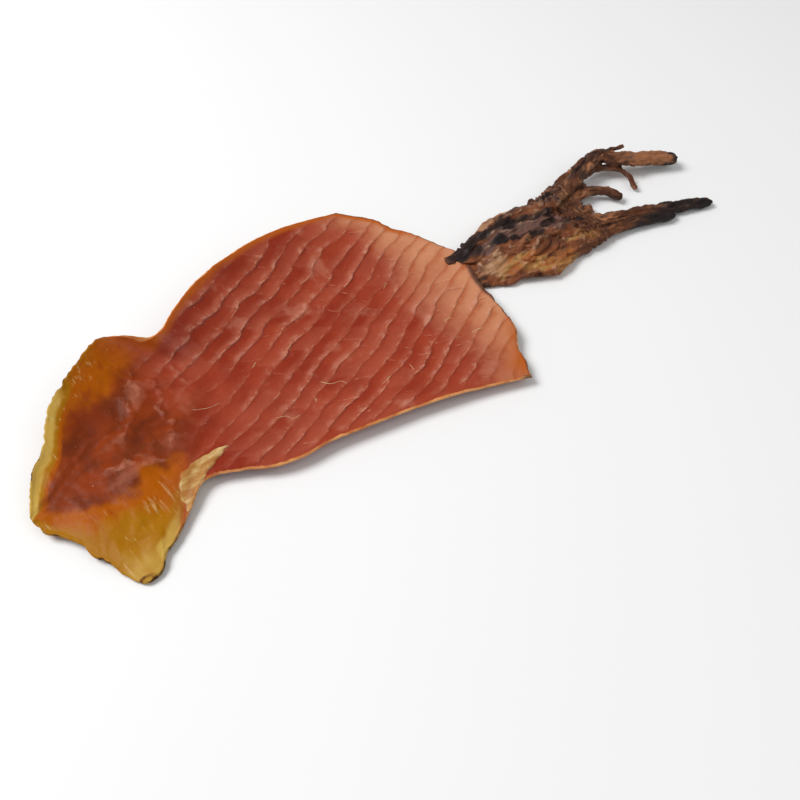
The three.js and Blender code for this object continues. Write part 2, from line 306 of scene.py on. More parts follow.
class Route:
    """A smooth line through points, spaced by its own length."""

    def __init__(self, points, samples=3000):
        p = np.array(points, float)
        p = np.concatenate([[2 * p[0] - p[1]], p, [2 * p[-1] - p[-2]]])
        spans = len(p) - 3
        at = np.linspace(0, spans, samples)
        i = np.minimum(at.astype(int), spans - 1)
        t = (at - i)[:, None]
        gaps = [np.sqrt(np.linalg.norm(p[i + k + 1] - p[i + k], axis=1))[:, None] for k in range(3)]
        p0, p1, p2, p3 = (p[i + k] for k in range(4))
        m1 = ((p1 - p0) / gaps[0] - (p2 - p0) / (gaps[0] + gaps[1]) + (p2 - p1) / gaps[1]) * gaps[1]
        m2 = ((p2 - p1) / gaps[1] - (p3 - p1) / (gaps[1] + gaps[2]) + (p3 - p2) / gaps[2]) * gaps[1]
        self.points = cubic(p1, p2, m1, m2, t)
        steps = np.linalg.norm(np.diff(self.points, axis=0), axis=1)
        self.places = np.concatenate([[0], np.cumsum(steps)])
        self.length = self.places[-1]
        self.places = self.places / self.length

    def at(self, share):
        return np.stack([np.interp(share, self.places, self.points[:, k]) for k in range(3)], -1)

    def direction(self, share):
        step = self.at(np.minimum(share + 0.004, 1)) - self.at(np.maximum(share - 0.004, 0))
        return step / np.linalg.norm(step, axis=-1, keepdims=True)


def nearest(places, queries):
    """For each query: which of places is nearest, and how far it is."""
    tree = kdtree.KDTree(len(places))
    for i, p in enumerate(places):
        tree.insert(p, i)
    tree.balance()
    found = [tree.find(q)[1:] for q in queries]
    return np.array([i for i, _ in found]), np.array([d for _, d in found])


# ---- The sheet of the mantle and fins, as in the CAD part ----


def margin(fin, fin_length, fin_span, edge, half_width, side):
    """One margin, from the tail along the fin and then along the mantle to its front corner."""
    edge_length = MANTLE_LENGTH - CORNER_SETBACK - fin_length
    points = [(x * fin_length, side * y * fin_span, 0) for x, y in fin]
    points += [(fin_length + x * edge_length, side * y * half_width, 0) for x, y in edge]
    return Route(points)


right_margin = margin(FIN_RIGHT, FIN_LENGTH_RIGHT, FIN_SPAN_RIGHT, EDGE_RIGHT, MANTLE_RIGHT, -1)
left_margin = margin(FIN_LEFT, FIN_LENGTH_LEFT, FIN_SPAN_LEFT, EDGE_LEFT, MANTLE_LEFT, 1)
middle = Route([(x * MANTLE_LENGTH, y, 0) for x, y in MIDDLE_LINE])
height_right, height_middle, height_left = profile(LIFT_RIGHT), profile(LIFT_MIDDLE), profile(LIFT_LEFT)
bulge_right, bulge_left = profile(FRONT_BULGE_RIGHT), profile(FRONT_BULGE_LEFT)


def sheet(along, across):
    """The sheet's mid-surface, along from 0 at the tail to 1 in front and across from -1 right to 1 left."""
    out = np.abs(across)
    left = across > 0
    edge = np.where(left[..., None], left_margin.at(along), right_margin.at(along))
    point = middle.at(along) * (1 - out[..., None]) + edge * out[..., None]
    front = smoothstep(along, 1 - FRONT_BULGE_DEPTH, 1)
    point[..., 0] += front * np.where(left, bulge_left(out), bulge_right(out))
    high = np.where(left, LEFT_CURL * height_left(along), height_right(along))
    rise = out ** np.where(left, CURL_POWER_LEFT, CURL_POWER_RIGHT)
    low = height_middle(along)
    buckle = np.sin(along * 21 + across * 3) + 0.7 * np.sin(along * 37 - across * 5)
    point[..., 2] = low + (high - low) * rise + BUCKLE_HEIGHT * rise * (1 - rise) * 2 * buckle
    return point


def outline_points():
    """Points along the sheet's margins and ends."""
    share = np.linspace(0, 1, 900)
    ones = np.ones_like(share)
    sides = [sheet(share, -ones), sheet(share, ones)]
    ends = [sheet(ones, 2 * share - 1), sheet(0 * share, 2 * share - 1)]
    return np.concatenate([*sides, *ends])


def head_place(along, y, z):
    """A point of the head, with along from 0 to 1, or of the arms' reach past it, from 1 to 2."""
    beyond = max(0, along - 1)
    return (MANTLE_LENGTH + min(along, 1) * HEAD_LENGTH + beyond * ARM_REACH, y, z)


# Where the design's millimetres lie in the row's frame: the squid's low corner is the CAD node's.
outline = outline_points()
node_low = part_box("dried_squid")[0]
OFFSET = Vector((node_low.x - outline[:, 0].min() * MM, node_low.y - outline[:, 1].min() * MM, node_low.z))


def placed(points):
    """Design millimetres as metres in the row's frame."""
    return np.asarray(points) * MM + np.array(OFFSET)


# ---- Mesh building ----


def mesh_object(name, vertices, faces, values=None):
    """A smooth-shaded object from design millimetres, with named values on its points."""
    mesh = bpy.data.meshes.new(name)
    mesh.from_pydata(placed(vertices).tolist(), [], faces)
    mesh.shade_smooth()
    add_values(mesh, values or {})
    return linked(name, mesh)


def linked(name, data):
    """A mesh, camera or light as an object in the scene."""
    item = bpy.data.objects.new(name, data)
    bpy.context.scene.collection.objects.link(item)
    return item


def add_values(mesh, values):
    for name, value in values.items():
        value = np.asarray(value, np.float32)
        kind = "FLOAT_VECTOR" if value.ndim == 2 else "FLOAT"
        layer = mesh.attributes.new(name, kind, "POINT")
        layer.data.foreach_set("vector" if value.ndim == 2 else "value", value.ravel())


def read(items, name, width=1, kind=float):
    """A property of a mesh's vertices, faces or corners, one row each."""
    values = np.empty(len(items) * width, kind)
    items.foreach_get(name, values)
    return values.reshape(-1, width) if width > 1 else values


def add_planar_uvs(mesh, is_under=None):
    """The bake map: seen from above, with the faces that look down laid out beyond the others."""
    if is_under is None:
        is_under = read(mesh.polygons, "normal", 3)[:, 2] < 0
    corner = read(mesh.loops, "vertex_index", kind=int)
    counts = np.diff(np.append(read(mesh.polygons, "loop_start", kind=int), len(corner)))
    places = read(mesh.vertices, "co", 3)[:, :2]
    low, high = places.min(0), places.max(0)
    gap = 2 * MM
    scale = 1 / max(high[0] - low[0] + 2 * gap, 2 * (high[1] - low[1]) + 3 * gap)
    uvs = ((places - low + gap) * scale)[corner]
    uvs[np.repeat(is_under, counts), 1] += (high[1] - low[1] + gap) * scale
    layer = mesh.uv_layers.new(name="OFBake")
    layer.data.foreach_set("uv", uvs.astype(np.float32).ravel())


# ---- The mantle and fins ----


def grid_places():
    """Rows and columns of the sheet, closer together at its margins."""
    rim = RIM_WIDTH / MANTLE_LENGTH
    inner = np.linspace(0.0015, 1 - rim, GRID_ROWS)
    along = np.concatenate([[0], inner, 1 - rim * np.array(RIM_STEPS)])
    sides = []
    for margin_line in (right_margin, left_margin):
        spoke = np.linalg.norm(margin_line.at(along) - middle.at(along), axis=1)
        width = np.minimum(RIM_WIDTH, 0.3 * spoke) / spoke
        inner = np.linspace(0, 1, GRID_SIDE)[None, :] * (1 - width)[:, None]
        outer = 1 - width[:, None] * np.array(RIM_STEPS)[None, :]
        sides.append(np.concatenate([inner, outer], axis=1))
    across = np.concatenate([-sides[0][:, ::-1], sides[1][:, 1:]], axis=1)
    return np.repeat(along[:, None], across.shape[1], axis=1), across


def nicks(points, along, across, edge):
    """Pulls the margins in here and there, so that they are ragged and not drawn with one curve."""
    lengthwise = np.stack([along * MANTLE_LENGTH, np.sign(across) * 50, 0 * along], -1)
    small = np.maximum(0, noise(lengthwise, 5, 11, 2)) + 0.5 * np.maximum(0, noise(lengthwise, 2.3, 14, 2))
    large = smoothstep(noise(lengthwise, 11, 12), 0.25, 0.6)
    fin = 1 - smoothstep(along, 0.28, 0.4)
    front = smoothstep(along, 0.985, 1)
    depth = (0.35 + 1.4 * fin) * small + 1.8 * fin * large
    inward = middle.at(along) - points
    inward[..., 2] = 0
    inward /= np.linalg.norm(inward, axis=-1, keepdims=True) + 1e-6
    moved = points + inward * (depth * np.exp(-edge / 3.5) * smoothstep(np.abs(across), 0.2, 0.6))[..., None]
    ragged = 0.9 * noise(np.stack([across * 70, 0 * along, 0 * along], -1), 5, 13, 3)
    moved[..., 0] += front * ragged
    return moved


def line_distance(points, corners):
    """Distance from each point to a bent line, seen from above."""
    x, y = points[..., 0], points[..., 1]
    best = np.full(x.shape, 1e9)
    for (x1, y1), (x2, y2) in itertools.pairwise(corners):
        t = np.clip(((x - x1) * (x2 - x1) + (y - y1) * (y2 - y1)) / ((x2 - x1) ** 2 + (y2 - y1) ** 2), 0, 1)
        best = np.minimum(best, np.hypot(x - x1 - t * (x2 - x1), y - y1 - t * (y2 - y1)))
    return best


def polygon_distance(points, corners):
    """Distance from each point to a polygon's outline, positive inside it."""
    x, y = points[..., 0], points[..., 1]
    closed = [*corners, corners[0]]
    inside = np.zeros(x.shape, bool)
    for (x1, y1), (x2, y2) in itertools.pairwise(closed):
        crosses = (y1 > y) != (y2 > y)
        inside ^= crosses & (x < (x2 - x1) * (y - y1) / (y2 - y1 + 1e-12) + x1)
    distance = line_distance(points, closed)
    return np.where(inside, distance, -distance)


def phases(points):
    """How many wrinkles in each point lies, for the long wrinkles and for those that cross them."""
    flat = points * FLATTEN
    x, y = points[..., 0], points[..., 1]
    cross = (math.sin(CROSS_ANGLE) * x - math.cos(CROSS_ANGLE) * y) / CROSS_SPACING
    cross = cross + layered(flat, (0.5, 34, 21), (0.24, 13, 22), (0.05, 4, 27))
    long = (math.sin(WRINKLE_ANGLE) * x - math.cos(WRINKLE_ANGLE) * y) / WRINKLE_SPACING
    long = long + layered(flat, (0.6, 48, 23), (0.3, 20, 24), (0.07, 7, 25))
    kink = cross - np.floor(cross)
    long = long + 0.13 * (kink - smoothstep(kink, 0.75, 1) - 0.4)
    return long, cross + (0.618 * np.floor(long)) % 1


def shingle(phase, drop):
    """Rises gently to a crest and drops steeply past it, once per wrinkle."""
    part = phase - np.floor(phase)
    return part**2.6 * (1 - smoothstep(part, 1 - drop, 0.98))


def line_by_line(points, phase, size, seed):
    """Noise that changes from one wrinkle to the next, as well as along each."""
    keyed = np.stack([points[..., 0], points[..., 1], 37.0 * np.floor(phase)], -1)
    return noise(keyed, size, seed)


def net_strength(points, along, edge, long, cross):
    """How strong the long wrinkles and the cross wrinkles are, from 0 to about 1."""
    flat = points * FLATTEN
    patchy = 0.4 + 0.6 * smoothstep(noise(flat, 26, 31, 2), -0.5, 0.2)
    patchy *= np.clip(0.72 + 0.95 * line_by_line(points, long, 21, 33), 0.1, 1)
    long_net = smoothstep(along, 0.28, 0.5) * patchy * smoothstep(edge, 1, 5)
    patchy = smoothstep(noise(flat, 20, 32, 2), -0.35, 0.35)
    patchy *= np.clip(0.85 + 1.2 * line_by_line(points, long + 0.5 * np.floor(cross), 9, 34), 0, 1)
    cross_net = smoothstep(along, 0.4, 0.62) * patchy * smoothstep(edge, 1, 6)
    return long_net, cross_net


def zones(points, along, across, edge, fin):
    """How thin and pale, how tanned and how orange the flesh is, from 0 to 1."""
    flat = points * FLATTEN
    x, y = points[..., 0], points[..., 1]
    wander = layered(flat, (3.6, 21, 61, 2), (1.3, 5, 62, 2))
    inward = edge + 0.55 * wander * smoothstep(edge, 0, 6)
    outside = -polygon_distance(points + 4.5 * noise_shift(flat, 11, 65, 3), TAIL_CENTRE)
    amber = 0.34 * smoothstep(outside, -8, 7)
    outside = np.maximum(0, outside)
    share = outside / (outside + np.maximum(inward, 0.01))
    strip = amber + np.interp(share, [0, 0.4, 0.7, 1], [0, 0.12, 0.35, 0.66])
    strip = np.maximum(strip, np.interp(inward, [0, 3.2, 5.5, 8.5], [1, 0.9, 0.6, 0]))
    plain = amber + np.interp(share, [0, 0.5, 0.9, 1], [0, 0.05, 0.14, 0.28])
    past_strip = smoothstep(x, 32, 46)
    left = strip * (1 - past_strip) + plain * past_strip
    from_tip = np.hypot(x - RIGHT_FIN_TIP[0], y - RIGHT_FIN_TIP[1]) + 1.4 * wander
    right = 2.9 * amber * np.interp(from_tip, [6, 21, 33, 46], [0.84, 0.72, 0.5, 0.2])
    right = np.maximum(right, amber + np.interp(share, [0, 0.5, 0.8, 1], [0, 0.1, 0.26, 0.42]))
    pale_side = smoothstep(x, 22, 32) * np.interp(inward, [0, 4, 8, 13], [0.98, 0.88, 0.6, 0])
    right = np.maximum(right, pale_side)
    side = smoothstep(across, -0.2, 0.2)
    thin = (right * (1 - side) + left * side) * smoothstep(fin, 0.15, 0.75)

    behind_front = (1 - along) * MANTLE_LENGTH + 2.2 * wander
    deep = 24 + 24 * bell(across + 0.08, 0.38)
    tan = 1 - smoothstep(behind_front / deep, 0.1, 1)
    tan = tan * (1 - 0.35 * smoothstep(np.abs(across), 0.5, 1))
    band = np.where(across > 0, 3.6, 0.55)
    orange = 1 - smoothstep(edge + 0.25 * wander, 0.3 * band, 1.15 * band)
    orange = orange * (1 - fin) * smoothstep(np.abs(across), 0.2, 0.6)
    corner = bell(line_distance(points, RIGHT_CORNER), 8)
    return thin, tan, np.maximum(orange, 0.95 * corner)


def fold_height(points, lines, width, waver, seed):
    """Narrow raised folds along the given lines, wavering a little and fading at their ends."""
    flat = points * FLATTEN
    warped = flat + waver * noise_shift(flat, 8, seed, 2)
    height = 0
    for line in lines:
        ridge = bell(line_distance(warped, line), width)
        ends = np.minimum(*(np.hypot(warped[..., 0] - x, warped[..., 1] - y) for x, y in (line[0], line[-1])))
        height = np.maximum(height, ridge * smoothstep(ends, 0, 8))
    return height


def sheet_relief(points, along, edge, fin):
    """Bends that both faces of the thin sheet share, and how far up or down the tail is crumpled."""
    flat = points * FLATTEN
    warped = flat + 6 * noise_shift(flat, 17, 41)
    crumple = 0.8 * noise(warped, 15, 43) - np.abs(noise(warped, 19, 44))
    crumple = crumple - 0.45 * np.abs(noise(warped, 8, 45))
    centre = smoothstep(edge, 4, 15) * (1 - smoothstep(along, 0.36, 0.48)) * smoothstep(along, 0.08, 0.22)
    calm = layered(flat, (0.75, 32, 46), (0.3, 13, 47))
    waves = 1.1 * noise(flat, 15, 48) * np.exp(-edge / 5)
    radial = 0.28 * fin * noise(flat * np.array([1, 0.45, 1]), 6, 49, 2) * smoothstep(edge, 0, 4)
    return 1.6 * centre * crumple + calm + waves * (0.5 + 0.5 * fin) + radial, centre * (crumple + 0.4)


def build_mantle():
    along, across = grid_places()
    points = sheet(along, across)
    _, edge = nearest(outline * FLATTEN, (points * FLATTEN).reshape(-1, 3))
    edge = edge.reshape(along.shape)
    reach = along - 0.07 * smoothstep(across, 0.35, 0.9) + 0.03 * noise(points, 20, 51)
    fin = 1 - smoothstep(reach, 0.26, 0.4)
    points = nicks(points, along, across, edge)
    long, cross = phases(points)
    long_net, cross_net = net_strength(points, along, edge, long, cross)
    thin, tan, orange = zones(points, along, across, edge, fin)
    flap = polygon_distance(points + 1.1 * noise_shift(points, 4, 63, 2), FLAP)
    relief, crumple = sheet_relief(points, along, edge, fin)
    points[..., 2] += relief

    outward = smoothstep(np.abs(across), 0.3, 1)
    thick = SHEET_THICKNESS + (FIN_THICKNESS - SHEET_THICKNESS) * (1 - smoothstep(along, 0.2, 0.45)) * outward
    roundness = np.sqrt(np.clip(1 - (1 - np.minimum(edge / (0.5 * thick), 1)) ** 2, 0, 1))
    flat = points * FLATTEN
    lip = 0.3 * bell(edge - 0.6, 0.6) * (0.5 + noise(flat, 6, 52))
    tip_x, tip_y = RIGHT_FIN_TIP
    from_tip = np.hypot((points[..., 0] - tip_x) / 3.3, (points[..., 1] - tip_y - 1) / 1.9)
    tip_curl = bell(from_tip - 1, 0.35)

    crest = (1 + 0.1 * tan) * WRINKLE_HEIGHT
    top = crest * (1.2 * long_net * shingle(long, 0.17) + 0.3 * cross_net * shingle(cross, 0.16))
    pen = fold_height(points, PEN_RIDGES, 1.7, 1.6, 56)
    folds = fold_height(points, CRUMPLE_FOLDS, 1.9, 3, 58)
    top += 0.4 * pen + 0.6 * folds
    top += 0.9 * smoothstep(flap, -0.2, 0.6) * smoothstep(points[..., 0], 48, 58)
    top += 0.1 * noise(flat, 2.4, 53, 2) + lip + 0.7 * tip_curl
    under = 0.2 * noise(flat, 6, 54, 2)

    upper = points.copy()
    upper[..., 2] += roundness * (0.5 * thick + top)
    lower = points.copy()
    lower[..., 2] -= roundness * (0.5 * thick - under)
    pressed = np.maximum(0, lower[..., 2])
    upper[..., 2] = np.maximum(upper[..., 2], pressed + SHEET_MIN_THICKNESS * roundness)
    lower[..., 2] = pressed

    values = dict(
        edge_mm=edge, fin=fin, long_phase=long, cross_phase=cross, long_net=long_net, cross_net=cross_net,
        thin=thin, tan=tan, orange=orange, pen=pen, folds=folds, crumple=crumple, tip_curl=tip_curl,
        flap_mm=flap, along=along, across=across,
        cell=0.5 + line_by_line(points, np.floor(long) + 9 * np.floor(cross), 60, 35),
    )
    return closed_sheet("mantle_and_fins", upper, lower, values), upper.reshape(-1, 3)


def build_fibres(surface):
    """Loose fibres stuck to the skin, most of them near the right margin and the tail's end of the mantle."""
    chance = np.random.default_rng(5)
    lines = [np.array(line, float) for line in FIBRES]
    while len(lines) < FIBRE_COUNT:
        x, y = chance.uniform(60, 222), chance.uniform(-58, 30)
        distance = chance.uniform(2.5, 7)
        turn = chance.normal(WRINKLE_ANGLE, 0.45) + chance.uniform(-0.25, 0.25) * np.arange(3)
        steps = np.cumsum(np.stack([np.cos(turn), np.sin(turn)], -1) * distance / 3, axis=0)
        line = np.concatenate([[(x, y)], steps + (x, y)])
        _, gap = nearest(surface * FLATTEN, np.pad(line, ((0, 0), (0, 1))))
        if gap.max() < 1.0:
            lines.append(line)
    vertices, faces = [], []
    for number, line in enumerate(lines):
        path = Route(np.pad(line, ((0, 0), (0, 1))), 200).at(np.linspace(0, 1, 9))
        which, _ = nearest(surface * FLATTEN, path)
        path[:, 2] = surface[which, 2] + 0.06
        radius = chance.uniform(0.1, 0.17)
        grid = tube(Route(path, 200), tapering((radius, radius), (radius, radius)), 8, 0.8, number, 0.05)
        faces += tube_faces(*grid.shape[:2], sum(len(v) for v in vertices))
        vertices.append(grid.reshape(-1, 3))
    piece = mesh_object("surface_fibres", np.concatenate(vertices), faces)
    add_planar_uvs(piece.data)
    return piece


def closed_sheet(name, upper, lower, values):
    """Joins two grids that share their outer ring into one closed mesh."""
    rows, columns = upper.shape[:2]
    index = np.arange(rows * columns).reshape(rows, columns)
    ring = np.zeros((rows, columns), bool)
    ring[[0, -1], :] = True
    ring[:, [0, -1]] = True
    under = index.copy()
    under[~ring] = rows * columns + np.arange((~ring).sum())
    vertices = np.concatenate([upper.reshape(-1, 3), lower[~ring]])

    def quads(grid):
        return np.stack([grid[:-1, :-1], grid[1:, :-1], grid[1:, 1:], grid[:-1, 1:]], -1).reshape(-1, 4)

    top_faces = quads(index)
    low_faces = quads(under)[:, ::-1]
    faces = np.concatenate([top_faces, low_faces])
    on_points = {key: np.concatenate([v.ravel(), v[~ring]]) for key, v in values.items()}
    on_points["under"] = np.concatenate([np.zeros(rows * columns), np.ones((~ring).sum())])
    piece = mesh_object(name, vertices, faces.tolist(), on_points)
    add_planar_uvs(piece.data, np.arange(len(faces)) >= len(top_faces))
    return piece


# ---- The head and arms ----


def tube(route, radii, sides=40, step=0.7, seed=0, ridges=0.2, roll=(0, 0)):
    """A closed tube along a route, flattened, ridged and twisted; radii gives its half width and height."""
    count = max(8, int(route.length / step))
    share = np.linspace(0, 1, count)
    centre = route.at(share)
    forward = route.direction(share)
    level = np.cross(forward, [0, 0, 1.0])
    level /= np.linalg.norm(level, axis=1, keepdims=True)
    upright = np.cross(level, forward)
    turn = np.interp(share, [0, 1], roll)[:, None]
    side = level * np.cos(turn) + upright * np.sin(turn)
    top = upright * np.cos(turn) - level * np.sin(turn)
    angle = np.linspace(0, 2 * math.pi, sides, endpoint=False)
    half_width, half_height = radii(share)
    place = share * route.length
    to_end = np.maximum(0, (place - route.length) / (0.6 * half_width) + 1)
    to_start = np.maximum(0, 1 - place / half_width)
    cap = np.sqrt(np.clip(1 - to_end**2, 0.05, 1) * np.clip(1 - to_start**2, 0.02, 1))
    twist = 2.2 * np.sin(place / 17 + seed) + place / 26
    bumps = 1 + ridges * np.cos(3 * (angle[None, :] + twist[:, None]))
    bumps += 0.5 * ridges * np.cos(7 * angle[None, :] - 2 * twist[:, None])
    at = np.repeat(place[:, None] / 5, sides, 1)
    across = 3 * np.repeat(np.stack([np.cos(angle), np.sin(angle)])[:, None, :], count, 1)
    bumps += 0.8 * ridges * noise(np.stack([at, *across], -1) + 31.7 * seed, 1, seed + 60, 2)
    scale = bumps * cap[:, None]
    return (
        centre[:, None, :]
        + side[:, None, :] * (np.cos(angle)[None, :] * scale * half_width[:, None])[..., None]
        + top[:, None, :] * (np.sin(angle)[None, :] * scale * half_height[:, None])[..., None]
    )


def tapering(width, height):
    """A tube's half-width and half-height, each changing evenly from its first number to its second."""
    return lambda share: [start + (end - start) * share for start, end in (width, height)]


def tube_faces(rows, sides, start):
    index = start + np.arange(rows * sides).reshape(rows, sides)
    turned = np.roll(index, -1, axis=1)
    faces = np.stack([index[:-1], turned[:-1], turned[1:], index[1:]], -1).reshape(-1, 4).tolist()
    faces.append(index[0, ::-1].tolist())
    faces.append(index[-1].tolist())
    return faces


def arm_routes():
    return {name: Route([head_place(*p) for p in arm[0]], 600) for name, arm in ARMS.items()}


def arm_tubes(routes):
    for number, (name, (_, width, height)) in enumerate(ARMS.items()):
        radii = tapering(0.5 * ARM_WIDTH * np.array(width), 0.5 * ARM_HEIGHT * np.array(height))
        yield tube(routes[name], radii, seed=number)
        yield from tendrils(routes[name], radii, number)


def tendrils(route, radii, number):
    """Thin dried cords that wind loosely over an arm."""
    chance = np.random.default_rng(100 + number)
    for _ in range(3):
        start, end = np.sort(chance.uniform(0.15, 0.98, 2))
        if (end - start) * route.length < 14:
            continue
        share = np.linspace(start, end, 7)
        centre, forward = route.at(share), route.direction(share)
        side = np.cross(forward, [0, 0, 1.0])
        half_width, half_height = radii(share)
        turn = chance.uniform(0.2, 2.9) + np.linspace(0, chance.uniform(-1.6, 1.6), 7)
        points = centre + side * (np.cos(turn) * half_width)[:, None]
        points[:, 2] += np.sin(turn) * half_height
        width = chance.uniform(0.6, 1.1)
        height = 0.8 * width
        yield tube(Route(points, 300), tapering((width, width), (height, height)), 14, 0.8, number, 0.1)


head_left, head_right, head_top = profile(HEAD_LEFT_EDGE), profile(HEAD_RIGHT_EDGE), profile(HEAD_TOP)


def head_section(share, rightward):
    """The head's middle and half-width there, and its top where rightward of that middle, in half-widths."""
    ends = np.sin(math.pi * (0.03 + 0.9 * share)) ** 0.45
    centre = 0.5 * (head_left(share) + head_right(share))
    half_width = 0.5 * (head_left(share) - head_right(share)) * ends
    neck = height_middle(1.0) + 0.5 * SHEET_THICKNESS + 0.7
    rise = smoothstep(share, 0.1, 0.35)
    top = (neck * (1 - rise) + HEAD_HEIGHT * head_top(share) * rise) * (0.35 + 0.65 * ends)
    return centre, half_width, top * (1 - THIN_RIGHT_SIDE * smoothstep(rightward, -0.3, 0.9))


def head_lump():
    """The head's own mass, from under the mantle's front edge to the crotch of the arms."""
    share = np.linspace(0, 1, 110)[:, None]
    angle = np.linspace(0, 2 * math.pi, 90, endpoint=False)[None, :]
    centre, half_width, top = head_section(share, np.cos(angle))
    x = MANTLE_LENGTH - HEAD_TUCK + share * (HEAD_TUCK + HEAD_LENGTH)
    y = centre - np.cos(angle) * half_width
    return np.stack([x + 0 * y, y, 0.5 * top * (1 + np.sin(angle))], -1)


def head_straps():
    """Dried folds of skin and sinew that run over the head into the arms."""
    chance = np.random.default_rng(7)
    for number, lane in enumerate(np.linspace(-0.93, 0.93, 17)):
        start, end = chance.uniform(0.14, 0.4), chance.uniform(0.7, 1.03)
        share = np.linspace(start, end, 6)
        rightward = np.clip(lane + chance.uniform(-0.13, 0.13, 6), -0.97, 0.97)
        centre, half_width, top = head_section(share, rightward)
        z = 0.5 * top * (1 + np.sqrt(1 - rightward**2)) + chance.uniform(-0.9, 0.5, 6)
        x = MANTLE_LENGTH - HEAD_TUCK + share * (HEAD_TUCK + HEAD_LENGTH)
        route = Route(np.stack([x, centre - rightward * half_width, z], -1), 300)
        width, height = chance.uniform(1.6, 3.4), chance.uniform(0.6, 1.0)
        roll = chance.uniform(-0.9, 0.9, 2)
        yield tube(route, tapering((width, width), (height, height)), 24, 0.8, number, 0.2, roll)


def neck_skin():
    """The dark skin of the neck, which lies over the mantle's front edge and joins the head to it."""
    for number, (places, width) in enumerate(NECK_SKIN):
        route = Route(places, 300)
        radii = tapering((0.55 * width, width), (0.75, 0.75))
        yield tube(route, radii, 36, 0.7, 50 + number, 0.2, (0, 0.15))


def arm_webs():
    """Thin skin between the arms' roots."""
    for number, (places, width) in enumerate(WEBS):
        route = Route([head_place(*p) for p in places], 300)
        radii = tapering((width, 0.45 * width), (0.8, 0.8))
        yield tube(route, radii, 36, 0.8, 40 + number, 0.22, (-0.25, 0.5))


def voxel_merged(name, grids):
    """One closed skin around several closed tubes."""
    vertices, faces, start = [], [], 0
    for grid in grids:
        rows, sides = grid.shape[:2]
        vertices.append(grid.reshape(-1, 3))
        faces += tube_faces(rows, sides, start)
        start += rows * sides
    rough_piece = mesh_object(name, np.concatenate(vertices), faces)
    remesh = rough_piece.modifiers.new("skin", "REMESH")
    remesh.mode = "VOXEL"
    remesh.voxel_size = VOXEL * MM
    mesh = bpy.data.meshes.new_from_object(rough_piece.evaluated_get(bpy.context.evaluated_depsgraph_get()))
    bpy.data.objects.remove(rough_piece)
    points = (read(mesh.vertices, "co", 3) - np.array(OFFSET)) / MM
    return mesh, points, read(mesh.vertices, "normal", 3)


def flow_places(points, routes):
    """Coordinates that run along the head and each arm, so that folds and streaks follow them."""
    share = np.linspace(0, 1, FLOW_SAMPLES)
    lines = list(routes.values())
    samples = np.concatenate([line.at(share) for line in lines])
    which, _ = nearest(samples, points)
    forward = np.concatenate([line.direction(share) for line in lines])[which]
    along = np.tile(share, len(lines))[which]
    number = np.repeat(np.arange(len(lines)), FLOW_SAMPLES)[which]
    offset = points - samples[which]
    sideways = offset[:, 0] * -forward[:, 1] + offset[:, 1] * forward[:, 0]
    lengths = np.array([line.length for line in lines])[number]
    on_arm = smoothstep(points[:, 0] - MANTLE_LENGTH, HEAD_LENGTH - 15, HEAD_LENGTH + 5)
    arm_flow = np.stack([along * lengths, sideways + ARM_WIDTH * number, offset[:, 2]], -1)
    flow = points * (1 - on_arm[:, None]) + arm_flow * on_arm[:, None]
    return flow, on_arm, along, number


def patch_weights(points, seed):
    """How much of each named patch of colour there is at each point."""
    wander = np.stack([noise(points, 9, seed, 2), noise(points, 9, seed + 1, 2)], -1)
    at = points[:, :2] + wander * np.array([4.5, 2.4])
    weights = {}
    for name, patches in HEAD_PATCHES.items():
        weight = 0
        for x, y, half_length, half_width, degrees in patches:
            turn = math.radians(degrees)
            dx, dy = at[:, 0] - x, at[:, 1] - y
            forward = dx * math.cos(turn) + dy * math.sin(turn)
            sideways = dy * math.cos(turn) - dx * math.sin(turn)
            reach = np.hypot(forward / half_length, sideways / half_width)
            weight = np.maximum(weight, 1 - smoothstep(reach, 0.7, 1.15))
        weights[name] = weight
    return weights


